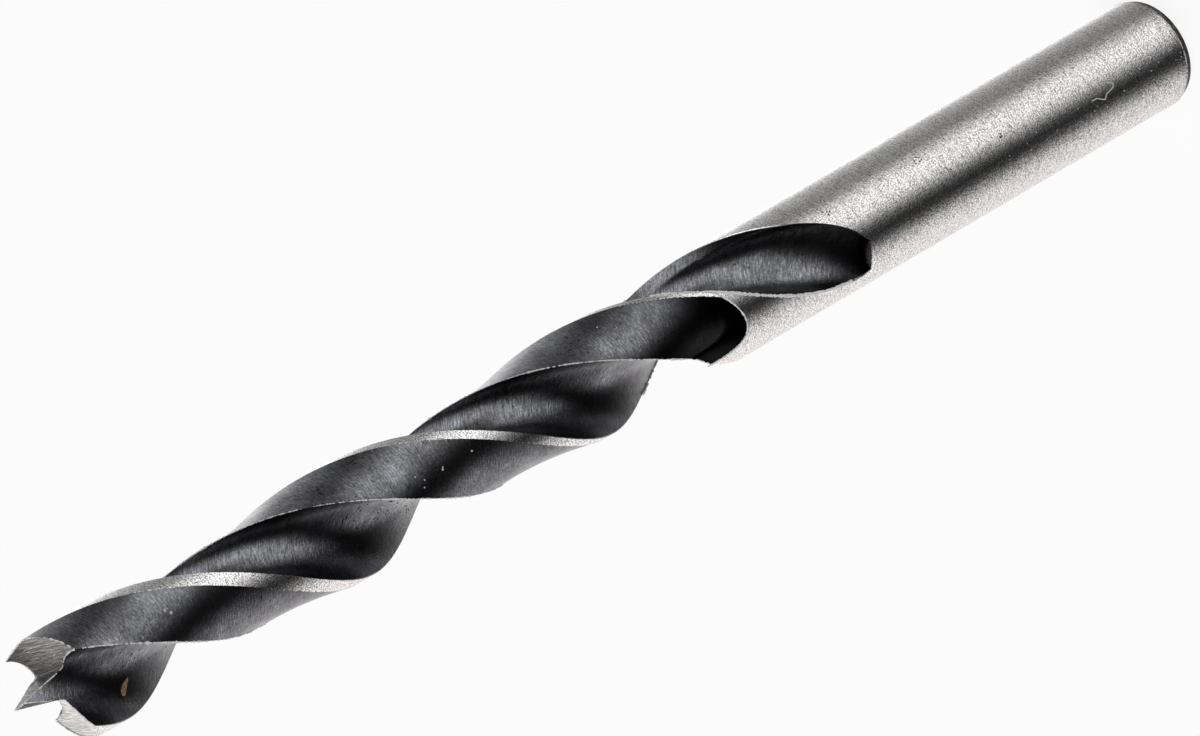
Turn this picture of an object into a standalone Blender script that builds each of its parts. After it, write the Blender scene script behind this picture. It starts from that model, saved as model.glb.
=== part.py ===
"""Brad-point wood drill bit, 8 mm across and 116 mm long, standing on its shank end.

The bit is one bar of steel. Two flutes and two clearance faces wind up it as a right-hand
helix and run out towards the shank, and the point is ground to a brad and two spurs.
Every section is drawn in the plane across the axis, on the land's own axes: X runs to the
leading edge of a land, and angles grow from there over the land and then over the flute.
"""

import math

import bmesh
import bpy
import numpy as np

MM = 0.001

# Body and shank
BIT_DIAMETER = 8.0
TOTAL_LENGTH = 116.15
HELIX_LEAD = 48.5
CHAMFER_LENGTH = 0.65
CHAMFER_DEPTH = 0.20

# Land: a cylindrical margin at the leading edge, then a crowned clearance face
LAND_ANGLE = math.radians(83.4)
MARGIN_AT_POINT = 1.40
MARGIN_AT_SHANK = 0.38
HEEL_RELIEF = 0.82
CLEARANCE_CROWN = 5.6
CLEARANCE_END = 48.0
CLEARANCE_END_RADIUS = 1.6
CLEARANCE_END_ANGLE = math.radians(34.0)
CLEARANCE_RAMP = 1.6

# Flute: a tight arc behind the heel and a wide arc up to the leading edge
WEB_AT_POINT = 1.6
WEB_AT_SHANK = 2.3
FLUTE_BOTTOM_SPARE = 0.37
FLUTE_FACE_SPARE = 1.30
FLUTE_END = 34.9
FLUTE_WHEEL_RADIUS = 30.0
FLUTE_LIFT_ANGLE = math.radians(106.0)
FLUTE_END_SLOPE = 1.6

# Point: a brad that stands above two spurs, its walls bevelled to a chisel edge at the top
POINT_HEIGHT = 2.65
POINT_OFFSET = 0.25
BRAD_EDGE_ANGLE = math.radians(121.0)
BRAD_HALF_ANGLE = math.radians(22.5)
BEVEL_ABOVE_SPURS = 0.3
WALL_EDGE_ANGLE = math.radians(139.0)
WALL_HALF_ANGLE = math.radians(11.3)
WALL_STANDOFF = 0.20
WALL_BLEND = 0.8
RELIEF_RADIUS = 3.5
RELIEF_WIDTH = 2.0
FLANK_RISE = math.radians(6.0)
FLANK_FALL = math.radians(7.3)

# Mesh density
MARGIN_STEPS = 3
CLEARANCE_STEPS = 9
FLUTE_STEPS = 15
ROW_STEP = 1.4
RUNOUT_ROW_STEP = 0.9
RUNOUT_BEND = 8.0
SHANK_BLEND = 12.0
GRIND_STEPS = 25
FLANK_STEPS = 14
OVERRUN = 2.0

RADIUS = BIT_DIAMETER / 2
SPUR_HEIGHT = TOTAL_LENGTH - POINT_HEIGHT


def polar(radius, angle):
    return np.array([radius * math.cos(angle), radius * math.sin(angle)])


def between(at_point, at_shank, z):
    """A size that changes evenly from the spurs down to the end of the clearance."""
    share = (SPUR_HEIGHT - z) / (SPUR_HEIGHT - CLEARANCE_END)
    return at_point + (at_shank - at_point) * min(max(share, 0.0), 1.0)


def circle_centre(first, second, first_reach, second_reach, side):
    """The point at the two given distances from two points, on the given side of their line."""
    gap = second - first
    distance = math.hypot(*gap)
    along = (first_reach**2 - second_reach**2 + distance**2) / (2 * distance)
    across = math.sqrt(max(first_reach**2 - along**2, 0.0))
    unit = gap / distance
    return first + along * unit + side * across * np.array([-unit[1], unit[0]])


def heel_point():
    return polar(RADIUS - HEEL_RELIEF, LAND_ANGLE)


def outer_radius(angle, z):
    """Radius of the land at this angle: the margin, then the clearance with its rounded end."""
    margin = between(MARGIN_AT_POINT, MARGIN_AT_SHANK, z) / RADIUS
    if angle <= margin:
        return RADIUS
    centre = circle_centre(polar(RADIUS, margin), heel_point(), CLEARANCE_CROWN, CLEARANCE_CROWN, 1)
    ray = polar(1.0, angle)
    reach = ray @ centre
    relieved = reach + math.sqrt(max(reach**2 - centre @ centre + CLEARANCE_CROWN**2, 0.0))
    across = RADIUS * (angle - CLEARANCE_END_ANGLE)
    end = CLEARANCE_END + across**2 / (2 * CLEARANCE_END_RADIUS)
    ramp = min(max((z - end) / CLEARANCE_RAMP, 0.0), 1.0)
    return RADIUS - (RADIUS - min(relieved, RADIUS)) * ramp * (2 - ramp)


def flute_lift(z, web):
    """How far the grinding wheel has left the full depth at this height, on its own arc."""
    depth = RADIUS - web / 2
    run = math.sqrt(2 * FLUTE_WHEEL_RADIUS * depth - depth**2)
    into = max(FLUTE_END + run - z, 0.0)
    return FLUTE_WHEEL_RADIUS - math.sqrt(max(FLUTE_WHEEL_RADIUS**2 - into**2, 0.0))


def flute_outline(z, steps=60):
    """The wheel's cut across the bar, from outside the heel to outside the leading edge.

    The tight arc just reaches from the web to the heel, and the wide one from there to the
    leading edge, each with the spare radius that its name gives.
    """
    web = between(WEB_AT_POINT, WEB_AT_SHANK, z)
    heel = heel_point()
    lead = np.array([-RADIUS, 0.0])
    tight = (RADIUS - HEEL_RELIEF - WEB_AT_POINT / 2) / 2 + FLUTE_BOTTOM_SPARE
    bottom = circle_centre(np.zeros(2), heel, web / 2 + tight, tight, 1)
    wide = (math.hypot(*(bottom - lead)) + tight) / 2 + FLUTE_FACE_SPARE
    face = circle_centre(bottom, lead, wide - tight, wide, -1)
    start = math.atan2(*(heel - bottom)[::-1])
    joint = math.atan2(*(bottom - face)[::-1])
    finish = math.atan2(*(lead - face)[::-1])
    if finish > joint:
        finish -= 2 * math.pi
    points = [heel * 2.0]
    points += [bottom + polar(tight, a) for a in np.linspace(start, joint, steps)]
    points += [face + polar(wide, a) for a in np.linspace(joint, finish, steps)[1:]]
    points.append(lead * 2.0)
    return np.array(points) + polar(flute_lift(z, web), FLUTE_LIFT_ANGLE)


def clipped(points, z):
    """The run of the outline that lies inside the bar, with its two ends on the surface."""
    angles = np.arctan2(points[:, 1], points[:, 0]) % (2 * math.pi)
    inside = [
        math.hypot(*p) < (RADIUS if a > math.pi else outer_radius(a, z))
        for p, a in zip(points, angles)
    ]
    first, last = inside.index(True), len(inside) - 1 - inside[::-1].index(True)
    ends = []
    for inner, outer in ((points[first], points[first - 1]), (points[last], points[last + 1])):
        low, high = 0.0, 1.0
        for _ in range(30):
            middle = (low + high) / 2
            p = inner + (outer - inner) * middle
            angle = math.atan2(p[1], p[0]) % (2 * math.pi)
            limit = RADIUS if angle > math.pi else outer_radius(angle, z)
            low, high = (middle, high) if math.hypot(*p) < limit else (low, middle)
        ends.append(inner + (outer - inner) * low)
    return np.vstack([ends[0], points[first : last + 1], ends[1]])


def spaced(points, count):
    """The same line with the given number of even steps along it."""
    reach = np.concatenate([[0.0], np.cumsum(np.hypot(*np.diff(points, axis=0).T))])
    at = np.linspace(0.0, reach[-1], count + 1)
    return np.column_stack([np.interp(at, reach, points[:, k]) for k in (0, 1)])


def half_section(z):
    """Half a turn of the section, from the leading edge to just before the next one."""
    flute = spaced(clipped(flute_outline(z), z), FLUTE_STEPS)
    heel = math.atan2(flute[0][1], flute[0][0])
    lead = math.atan2(flute[-1][1], flute[-1][0]) % (2 * math.pi) - math.pi
    margin = between(MARGIN_AT_POINT, MARGIN_AT_SHANK, z) / RADIUS
    land = list(np.linspace(lead, margin, MARGIN_STEPS + 1))
    land += list(np.linspace(margin, heel, CLEARANCE_STEPS + 1))[1:-1]
    points = [polar(RADIUS if a <= margin else outer_radius(a, z), a) for a in land]
    wall = RADIUS - FLUTE_END_SLOPE * (z - FLUTE_END)
    reach = np.hypot(flute[:-1, 0], flute[:-1, 1])
    return np.vstack([points, flute[:-1] * (np.maximum(reach, wall) / reach)[:, None]])


def bend(z):
    """How far a row of points follows the rounded end of the clearance, from none to fully."""
    below = (z - CLEARANCE_END + RUNOUT_BEND) / RUNOUT_BEND
    above = (CLEARANCE_END + CLEARANCE_RAMP + RUNOUT_BEND - z) / RUNOUT_BEND
    return min(max(min(below, above), 0.0), 1.0)


def half_row(z):
    """Half a row of the blank's points, each with its own height, in the land's axes."""
    flat = half_section(z)
    follow = bend(z)
    angles = np.arctan2(flat[:, 1], flat[:, 0])
    land = MARGIN_STEPS + CLEARANCE_STEPS
    rise = (RADIUS * (angles - CLEARANCE_END_ANGLE)) ** 2 / (2 * CLEARANCE_END_RADIUS)
    rise[: MARGIN_STEPS + 1] = rise[MARGIN_STEPS]
    rise[land:] = np.linspace(rise[land], rise[0], len(flat) - land + 1)[:-1]
    own = z + follow * rise
    points = [half_section(h)[i] for i, h in enumerate(own)] if follow else flat
    return np.column_stack([points, own])


def turned(points, angle):
    """The points of a section set round the axis, the angle growing anticlockwise from the tip."""
    reach = np.hypot(points[:, 0], points[:, 1])
    at = angle - np.arctan2(points[:, 1], points[:, 0])
    return np.column_stack([reach * np.cos(at), reach * np.sin(at)])


def lead_angle(z):
    """Direction of the first land's leading edge at this height: a right-hand helix."""
    return 2 * math.pi * z / HELIX_LEAD


def fluted_heights():
    """Heights of the rows above the shank, closer together where the cuts run out."""
    rows = [FLUTE_END]
    step = RUNOUT_ROW_STEP / 6
    while rows[-1] + step < CLEARANCE_END - RUNOUT_ROW_STEP / 3:
        rows.append(rows[-1] + step)
        step = min(step * 1.4, RUNOUT_ROW_STEP)
    rows += [CLEARANCE_END + CLEARANCE_RAMP * share for share in (0.0, 0.2, 0.45, 0.7, 1.0)]
    count = math.ceil((TOTAL_LENGTH + OVERRUN - rows[-1]) / ROW_STEP)
    return rows + list(np.linspace(rows[-1], TOTAL_LENGTH + OVERRUN, count + 1))[1:]


def full_row(half, twist=None):
    """Both halves of a row, wound round the axis by the helix at each point's own height."""
    at = lead_angle(half[:, 2]) if twist is None else twist
    rows = [np.column_stack([turned(half[:, :2], at + turn), half[:, 2]]) for turn in (0, math.pi)]
    return np.vstack(rows)


def shank_rows(first):
    """Round rows from the flat end up to the flute's end, where they take on its spacing."""
    at = np.arctan2(first[:, 1], first[:, 0])
    at[at < at[0] - 1e-6] += 2 * math.pi
    even = at[0] + np.linspace(0.0, math.pi, len(at) + 1)[:-1]
    levels = [(0.0, RADIUS - CHAMFER_DEPTH, 1.0), (CHAMFER_LENGTH, RADIUS, 1.0)]
    for share in (1.0, 0.7, 0.45, 0.25, 0.12, 0.04):
        levels.append((FLUTE_END - SHANK_BLEND * share, RADIUS, share))
    rows = []
    for z, radius, share in levels:
        angles = at + (even - at) * share
        half = [radius * np.cos(angles), radius * np.sin(angles), np.full(len(at), z)]
        rows.append(full_row(np.column_stack(half), lead_angle(FLUTE_END)))
    return rows


def ground_steel():
    return steel("ground_steel", (0.62, 0.61, 0.60, 1.0), 0.28)


def black_oxide():
    return steel("black_oxide", (0.035, 0.037, 0.042, 1.0), 0.38)


def steel(name, colour, roughness):
    material = bpy.data.materials.get(name) or bpy.data.materials.new(name)
    material.use_nodes = True
    shader = material.node_tree.nodes["Principled BSDF"]
    shader.inputs["Base Color"].default_value = colour
    shader.inputs["Metallic"].default_value = 1.0
    shader.inputs["Roughness"].default_value = roughness
    return material


def add_object(name, mesh_data, materials):
    mesh = bpy.data.meshes.new(name)
    mesh_data.to_mesh(mesh)
    mesh_data.free()
    for material in materials:
        mesh.materials.append(material)
    made = bpy.data.objects.new(name, mesh)
    bpy.context.scene.collection.objects.link(made)
    return made


def drill_blank():
    """The fluted bar, still with a flat top above the point."""
    fluted = [half_row(z) for z in fluted_heights()]
    shank = shank_rows(fluted[0])
    bm = bmesh.new()
    rows = [[bm.verts.new(p * MM) for p in row] for row in shank + [full_row(h) for h in fluted]]
    count = len(rows[0])
    half = count // 2
    for k, (lower, upper) in enumerate(zip(rows, rows[1:])):
        for i in range(count):
            j = (i + 1) % count
            face = bm.faces.new((lower[j], lower[i], upper[i], upper[j]))
            reach = [math.hypot(v.co.x, v.co.y) for v in face.verts]
            on_land = i % half < MARGIN_STEPS or min(reach) > (RADIUS - 0.01) * MM
            face.material_index = 0 if on_land or k < len(shank) - 1 else 1
    bm.faces.new(rows[0])
    bm.faces.new(rows[-1][::-1])
    bmesh.ops.recalc_face_normals(bm, faces=bm.faces)
    return add_object("drill_bit", bm, (ground_steel(), black_oxide()))


def relief(behind):
    """Height that the hollow behind the cutting edge still has, this far behind it."""
    left = min(max(RELIEF_WIDTH - behind, 0.0), RELIEF_RADIUS * 0.9)
    return RELIEF_RADIUS - math.sqrt(RELIEF_RADIUS**2 - left**2)


def flank_height(x, y):
    """The flank of a wing: it rises outwards and falls behind the cutting edge, from the spur."""
    rise = math.tan(FLANK_RISE) * (x - RADIUS)
    fall = math.tan(FLANK_FALL) * y
    return SPUR_HEIGHT + rise - fall + relief(y) - relief(0.0)


def wing_point(out, along, edge, side):
    """A point in a wing's axes, measured from the brad's middle across and along an edge."""
    middle = side * POINT_OFFSET
    x = middle * math.sin(BRAD_EDGE_ANGLE) + out * math.sin(edge) + along * math.cos(edge)
    y = -middle * math.cos(BRAD_EDGE_ANGLE) - out * math.cos(edge) + along * math.sin(edge)
    return x, y


def wall_height(out):
    return TOTAL_LENGTH - (out - WALL_STANDOFF) / math.tan(WALL_HALF_ANGLE)


def ground_height(out, along, side):
    """Height left by grinding one wing: the brad's wall, blended into the flank."""
    wall = wall_height(out)
    flank = flank_height(*wing_point(out, along, WALL_EDGE_ANGLE, side))
    share = max(WALL_BLEND - abs(wall - flank), 0.0) / WALL_BLEND
    return max(wall, flank) + share**2 * WALL_BLEND / 4


def wall_foot(along, side):
    """Distance from the brad's middle at which its wall meets the flank."""
    low, high = 0.0, RADIUS
    for _ in range(30):
        out = (low + high) / 2
        flank = flank_height(*wing_point(out, along, WALL_EDGE_ANGLE, side))
        low, high = (out, high) if wall_height(out) > flank else (low, out)
    return low


def block_corner(bm, out, along, edge, side, z):
    """A corner of a cutting block, turned to its wing at the height of the spurs."""
    turn = lead_angle(SPUR_HEIGHT) + (0.0 if side > 0 else math.pi)
    ((x, y),) = turned(np.array([wing_point(out, along, edge, side)]), turn)
    return bm.verts.new((x * MM, y * MM, z * MM))


def wing_cutter(name, side):
    """What the wheel removes from one wing, as a closed block with the ground shape below."""
    reach = RADIUS * 1.5
    top = TOTAL_LENGTH + OVERRUN * 1.5
    blend = WALL_BLEND * math.tan(WALL_HALF_ANGLE)
    bm = bmesh.new()
    floor, lid = [], []
    for along in np.linspace(-reach, reach, GRIND_STEPS):
        foot = wall_foot(along, side)
        outs = [WALL_STANDOFF - OVERRUN * math.tan(WALL_HALF_ANGLE)]
        outs += [foot + blend * s for s in (-1.0, -0.5, 0.0, 0.5)]
        outs += list(np.linspace(foot + blend, reach, FLANK_STEPS))
        heights = [ground_height(out, along, side) for out in outs]
        edge = WALL_EDGE_ANGLE
        floor.append([block_corner(bm, o, along, edge, side, z) for o, z in zip(outs, heights)])
        lid.append([block_corner(bm, o, along, edge, side, top) for o in outs])
    for grid in (floor, lid):
        for a, b in zip(grid, grid[1:]):
            for k in range(len(a) - 1):
                bm.faces.new((a[k], a[k + 1], b[k + 1], b[k]))
    rim = [
        (floor[0], lid[0]),
        (floor[-1], lid[-1]),
        ([row[0] for row in floor], [row[0] for row in lid]),
        ([row[-1] for row in floor], [row[-1] for row in lid]),
    ]
    for low, high in rim:
        for k in range(len(low) - 1):
            bm.faces.new((low[k], low[k + 1], high[k + 1], high[k]))
    return cutter(name, bm)


def bevel_cutter(name, side):
    """What is ground off the top of one wall, so that both meet in the chisel edge."""
    reach = RADIUS * 1.5
    slope = math.tan(BRAD_HALF_ANGLE)
    foot = SPUR_HEIGHT + BEVEL_ABOVE_SPURS
    top = TOTAL_LENGTH + OVERRUN
    outline = [
        ((TOTAL_LENGTH - foot) * slope, foot),
        (reach, foot),
        (reach, top),
        (-OVERRUN * slope, top),
    ]
    bm = bmesh.new()
    ends = []
    for along in (-reach, reach):
        ends.append([block_corner(bm, o, along, BRAD_EDGE_ANGLE, side, z) for o, z in outline])
        bm.faces.new(ends[-1])
    for k in range(len(outline)):
        j = (k + 1) % len(outline)
        bm.faces.new((ends[0][k], ends[0][j], ends[1][j], ends[1][k]))
    return cutter(name, bm)


def cutter(name, bm):
    bmesh.ops.recalc_face_normals(bm, faces=bm.faces)
    block = add_object(name, bm, (ground_steel(),))
    block.hide_render = True
    block.display_type = "WIRE"
    return block


def grind_point_on(bit):
    for wing, side in (("first_wing", 1), ("second_wing", -1)):
        for block in (wing_cutter("grind_" + wing, side), bevel_cutter("bevel_" + wing, side)):
            cut = bit.modifiers.new(block.name, "BOOLEAN")
            cut.operation = "DIFFERENCE"
            cut.solver = "EXACT"
            cut.object = block


def clear_scene():
    for old in list(bpy.data.objects):
        bpy.data.objects.remove(old, do_unlink=True)


clear_scene()
drill_bit = drill_blank()
grind_point_on(drill_bit)
drill_bit.data.shade_smooth()
drill_bit.data.set_sharp_from_angle(angle=math.radians(28))
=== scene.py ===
import math

import bmesh
import bpy
import numpy as np
from mathutils import Matrix, Vector
from mathutils import noise as wander
from mathutils.bvhtree import BVHTree
from mathutils.kdtree import KDTree


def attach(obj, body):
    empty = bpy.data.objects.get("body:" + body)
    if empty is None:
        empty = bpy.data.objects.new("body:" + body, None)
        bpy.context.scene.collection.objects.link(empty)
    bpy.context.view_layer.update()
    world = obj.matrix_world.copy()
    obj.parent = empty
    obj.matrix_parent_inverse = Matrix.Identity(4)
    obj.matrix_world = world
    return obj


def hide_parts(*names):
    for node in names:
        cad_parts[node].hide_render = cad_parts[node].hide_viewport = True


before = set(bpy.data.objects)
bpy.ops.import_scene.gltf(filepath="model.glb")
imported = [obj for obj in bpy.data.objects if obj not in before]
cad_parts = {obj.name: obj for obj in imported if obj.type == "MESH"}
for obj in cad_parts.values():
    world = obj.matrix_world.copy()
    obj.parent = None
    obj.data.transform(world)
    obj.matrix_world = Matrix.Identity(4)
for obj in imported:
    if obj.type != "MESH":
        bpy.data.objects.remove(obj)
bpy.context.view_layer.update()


# The fluted bar.
# A round bar of tool steel, 8 mm across. Two flutes and two clearance faces are milled up it on
# a right-hand helix and run out on the wheel's arc; a cylindrical margin is left on each land.
MM = 0.001  # Sizes here are in millimetres, with +Z from the shank end to the point.
BIT_RADIUS = 4.0
BIT_LENGTH = 116.15
HELIX_LEAD = 48.5
CHAMFER_LENGTH = 0.65
CHAMFER_DEPTH = 0.20
CHAMFER_BELLY = 1.15
WORN_END_CORNER = [(0.0, -0.1), (0.03, -0.02), (0.09, 0.04)]
LAND_ANGLE = math.radians(83.4)
MARGIN_AT_POINT = 1.40
MARGIN_AT_SHANK = 0.38
HEEL_RELIEF = 0.82
CLEARANCE_CROWN = 5.6
CLEARANCE_END = 48.0
CLEARANCE_END_RADIUS = 1.6
CLEARANCE_END_ANGLE = math.radians(34.0)
CLEARANCE_RAMP = 1.6
WEB_AT_POINT = 1.6
WEB_AT_SHANK = 2.3
FLUTE_BOTTOM_RADIUS = 1.56
FLUTE_FACE_RADIUS = 4.0
FLUTE_END = 34.9
FLUTE_WHEEL_RADIUS = 30.0
FLUTE_LIFT_ANGLE = math.radians(106.0)
FLUTE_END_SLOPE = 1.6
SPUR_HEIGHT = 113.5
BLANK_TOP = 118.5
WORN_EDGE = 0.05
MARGIN_STEPS = 7
CLEARANCE_STEPS = 26
FLUTE_STEPS = 40
TABLE_STEP = 0.1
ROW_STEP = 0.26
FINE_ROW_STEP = 0.12
ROW_BEND = 8.0
END_WALL_ROWS = [0.0, 0.05, 0.12, 0.22, 0.36, 0.55]
SHANK_ROWS = 40
EVEN_BELOW_FLUTES = 12.0


def polar(radius, angle):
    return np.stack([radius * np.cos(angle), radius * np.sin(angle)], axis=-1)


def along_bit(at_point, at_shank, z):
    """A size that changes evenly from the spurs down to the end of the clearance."""
    share = (SPUR_HEIGHT - z) / (SPUR_HEIGHT - CLEARANCE_END)
    return at_point + (at_shank - at_point) * min(max(share, 0.0), 1.0)


def arc_centre(first, second, first_reach, second_reach, side):
    """The point at the two given distances from two points, on the given side of their line."""
    gap = second - first
    distance = math.hypot(*gap)
    along = (first_reach**2 - second_reach**2 + distance**2) / (2 * distance)
    across = math.sqrt(max(first_reach**2 - along**2, 0.0))
    return first + (along * gap + side * across * np.array([-gap[1], gap[0]])) / distance


def clearance_end(angle):
    """Height of the clearance's rounded end at this angle on the land."""
    across = BIT_RADIUS * (angle - CLEARANCE_END_ANGLE)
    return CLEARANCE_END + across**2 / (2 * CLEARANCE_END_RADIUS)


def land_radius(angle, z):
    """Radius of the land at these angles: the margin, then the clearance."""
    margin = along_bit(MARGIN_AT_POINT, MARGIN_AT_SHANK, z) / BIT_RADIUS
    heel = polar(BIT_RADIUS - HEEL_RELIEF, LAND_ANGLE)
    centre = arc_centre(polar(BIT_RADIUS, margin), heel, CLEARANCE_CROWN, CLEARANCE_CROWN, 1)
    reach = polar(1.0, angle) @ centre
    relieved = reach + np.sqrt(np.maximum(reach**2 - centre @ centre + CLEARANCE_CROWN**2, 0.0))
    ramp = np.clip((z - clearance_end(angle)) / CLEARANCE_RAMP, 0.0, 1.0)
    depth = (BIT_RADIUS - np.minimum(relieved, BIT_RADIUS)) * ramp * (2 - ramp)
    return np.where((angle <= margin) | (angle > math.pi), BIT_RADIUS, BIT_RADIUS - depth)


def flute_line(z, steps=60):
    """The wheel's cut across the bar, from outside the heel to outside the leading edge."""
    web = along_bit(WEB_AT_POINT, WEB_AT_SHANK, z)
    heel = polar(BIT_RADIUS - HEEL_RELIEF, LAND_ANGLE)
    lead = np.array([-BIT_RADIUS, 0.0])
    bottom = arc_centre(
        np.zeros(2), heel, web / 2 + FLUTE_BOTTOM_RADIUS, FLUTE_BOTTOM_RADIUS, 1
    )
    face = arc_centre(
        bottom, lead, FLUTE_FACE_RADIUS - FLUTE_BOTTOM_RADIUS, FLUTE_FACE_RADIUS, -1
    )
    start = math.atan2(*(heel - bottom)[::-1])
    joint = math.atan2(*(bottom - face)[::-1])
    finish = math.atan2(*(lead - face)[::-1])
    finish -= 2 * math.pi if finish > joint else 0.0
    depth = BIT_RADIUS - web / 2
    run = math.sqrt(2 * FLUTE_WHEEL_RADIUS * depth - depth**2)
    into = min(max(FLUTE_END + run - z, 0.0), FLUTE_WHEEL_RADIUS)
    lift = FLUTE_WHEEL_RADIUS - math.sqrt(FLUTE_WHEEL_RADIUS**2 - into**2)
    rows = [
        heel[None] * 2.0,
        bottom + polar(FLUTE_BOTTOM_RADIUS, np.linspace(start, joint, steps)),
        face + polar(FLUTE_FACE_RADIUS, np.linspace(joint, finish, steps)[1:]),
        lead[None] * 2.0,
    ]
    return np.vstack(rows) + polar(lift, FLUTE_LIFT_ANGLE)


def flute_in_bar(z):
    """The part of that line inside the bar, with both ends on its surface."""
    line = flute_line(z)

    def depth(p):
        angle = np.arctan2(p[..., 1], p[..., 0]) % (2 * math.pi)
        return land_radius(angle, z) - np.hypot(p[..., 0], p[..., 1])

    inside = np.flatnonzero(depth(line) > 0)
    ends = []
    for inner, outer in ((inside[0], inside[0] - 1), (inside[-1], inside[-1] + 1)):
        share = np.linspace(0.0, 1.0, 201)[:, None]
        walk = line[inner] + (line[outer] - line[inner]) * share
        last = int(np.argmax(depth(walk) <= 0)) - 1
        near, far = walk[last], walk[last + 1]
        a, b = depth(near), depth(far)
        ends.append(near + (far - near) * a / (a - b))
    return np.vstack([ends[0], line[inside[0] : inside[-1] + 1], ends[1]])


def graded(start, stop, steps, least):
    """Steps from start to stop that are finest at both ends."""
    share = np.linspace(0.0, 1.0, steps + 1)
    eased = share - (1 - least) * np.sin(2 * math.pi * share) / (2 * math.pi)
    return start + (stop - start) * eased


def bar_section(z):
    """Half a turn of the section, its sharp corners worn to a narrow flat."""
    line = flute_in_bar(z)
    reach = np.concatenate([[0.0], np.cumsum(np.hypot(*np.diff(line, axis=0).T))])
    worn = min(WORN_EDGE, reach[-1] / 8)
    at = graded(worn, reach[-1] - worn, FLUTE_STEPS, least=0.35)
    flute = np.column_stack([np.interp(at, reach, line[:, k]) for k in (0, 1)])
    wall = BIT_RADIUS - FLUTE_END_SLOPE * (z - FLUTE_END)
    radius = np.hypot(*flute.T)
    flute *= (np.maximum(radius, min(wall, BIT_RADIUS)) / radius)[:, None]
    heel = math.atan2(line[0][1], line[0][0]) - worn / BIT_RADIUS
    lead = math.atan2(line[-1][1], line[-1][0]) % (2 * math.pi) - math.pi + worn / BIT_RADIUS
    margin = along_bit(MARGIN_AT_POINT, MARGIN_AT_SHANK, z) / BIT_RADIUS
    land = np.concatenate(
        [
            np.linspace(lead, margin, MARGIN_STEPS + 1)[:-1],
            graded(margin, heel, CLEARANCE_STEPS, least=0.4),
        ]
    )
    return np.vstack([polar(land_radius(land, z), land), flute])


COLUMNS = MARGIN_STEPS + CLEARANCE_STEPS + 1 + FLUTE_STEPS + 1
HEEL_COLUMN = MARGIN_STEPS + CLEARANCE_STEPS
table_heights = np.arange(FLUTE_END, BLANK_TOP + 6.0, TABLE_STEP)
section_table = np.array([bar_section(z) for z in table_heights])


def section_at(z):
    """Column by column, the section's points at these heights."""
    place = np.clip((z - FLUTE_END) / TABLE_STEP, 0.0, len(table_heights) - 1.001)
    low = place.astype(int)
    share = (place - low)[:, None]
    column = np.arange(COLUMNS)
    return section_table[low, column] * (1 - share) + section_table[low + 1, column] * share


def fluted_row(z):
    """A row of points that bends along the clearance's rounded end where it passes it."""
    angles = np.arctan2(*section_at(np.full(COLUMNS, z))[:, ::-1].T)
    rise = clearance_end(angles) - CLEARANCE_END
    rise[:MARGIN_STEPS] = rise[MARGIN_STEPS]
    rise[HEEL_COLUMN + 1 :] = np.linspace(rise[HEEL_COLUMN], rise[0], FLUTE_STEPS + 2)[1:]
    below = (z - CLEARANCE_END + ROW_BEND) / ROW_BEND
    above = (CLEARANCE_END + CLEARANCE_RAMP + ROW_BEND - z) / ROW_BEND
    own = z + min(max(min(below, above), 0.0), 1.0) * rise
    return section_at(own), own


def wound(points, twist):
    """Section points set round the axis, which turns them by the helix."""
    reach = np.hypot(*points.T)
    angle = twist - np.arctan2(points[:, 1], points[:, 0])
    return np.column_stack([reach * np.cos(angle), reach * np.sin(angle)])


def lead_angle(z):
    return 2 * math.pi * z / HELIX_LEAD


fluted_heights = [FLUTE_END + rise for rise in END_WALL_ROWS]
while fluted_heights[-1] < BLANK_TOP:
    near_rim = CLEARANCE_END - 0.5 < fluted_heights[-1] < CLEARANCE_END + CLEARANCE_RAMP
    fluted_heights.append(fluted_heights[-1] + (FINE_ROW_STEP if near_rim else ROW_STEP))

grid = []
for z in fluted_heights:
    points, own = fluted_row(z)
    both = [np.column_stack([wound(points, lead_angle(own) + t), own]) for t in (0, math.pi)]
    grid.append(np.vstack(both))

# The shank's rows, from its worn end corner over the chamfer. Their points start out even and
# draw together towards the columns of the first fluted row.
first = section_at(np.full(COLUMNS, FLUTE_END))
at = np.unwrap(np.arctan2(first[:, 1], first[:, 0]))
even = at[0] + np.linspace(0.0, math.pi, COLUMNS + 1)[:-1]
shank_profile = [(z, BIT_RADIUS - CHAMFER_DEPTH + out) for z, out in WORN_END_CORNER]
for share in (0.3, 0.6, 0.85, 0.95):
    depth = CHAMFER_DEPTH * (1 - share) ** CHAMFER_BELLY
    shank_profile.append((CHAMFER_LENGTH * share, BIT_RADIUS - depth))
shank_profile.append((CHAMFER_LENGTH + 0.1, BIT_RADIUS))
shank_profile += [(z, BIT_RADIUS) for z in np.linspace(2.0, FLUTE_END - 0.3, SHANK_ROWS)]
shank = []
for z, radius in shank_profile:
    share = min(max((FLUTE_END - z) / EVEN_BELOW_FLUTES, 0.0), 1.0)
    half = polar(radius, at + (even - at) * share)
    both = [wound(half, lead_angle(FLUTE_END) + turn) for turn in (0, math.pi)]
    shank.append(np.column_stack([np.vstack(both), np.full(2 * COLUMNS, z)]))
rows = np.array(shank + grid)

# Beside each point are kept what the milling and grinding left: how far it lies inside the
# blackened area, its place across and along the cut, which cut it is in and how far the border
# wanders there; and how much shade is painted into the colour where the wheel ran out and
# along the flute's rim.
# The black stops short of a worn rim and covers the heel's corner, and the painted shade fades
# over these lengths from the run-outs and from the rim.
COAT, ACROSS, ALONG, IN_FLUTE, JAG, PAINTED_SHADE = range(6)
END_SLANT = 0.8
BARE_RIM = 0.02
HEEL_COVER = 0.01
LAND_SHADE_REACH = 5.0
FLUTE_SHADE_REACH = 3.0
RIM_SHADE_REACH = 1.5
RIM_SHADE_TOP = 14.0
RIM_SHADE_FADE = 5.0
RIM_SHADE_MOST = 0.85
QUIET_JAG = 0.3

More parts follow.
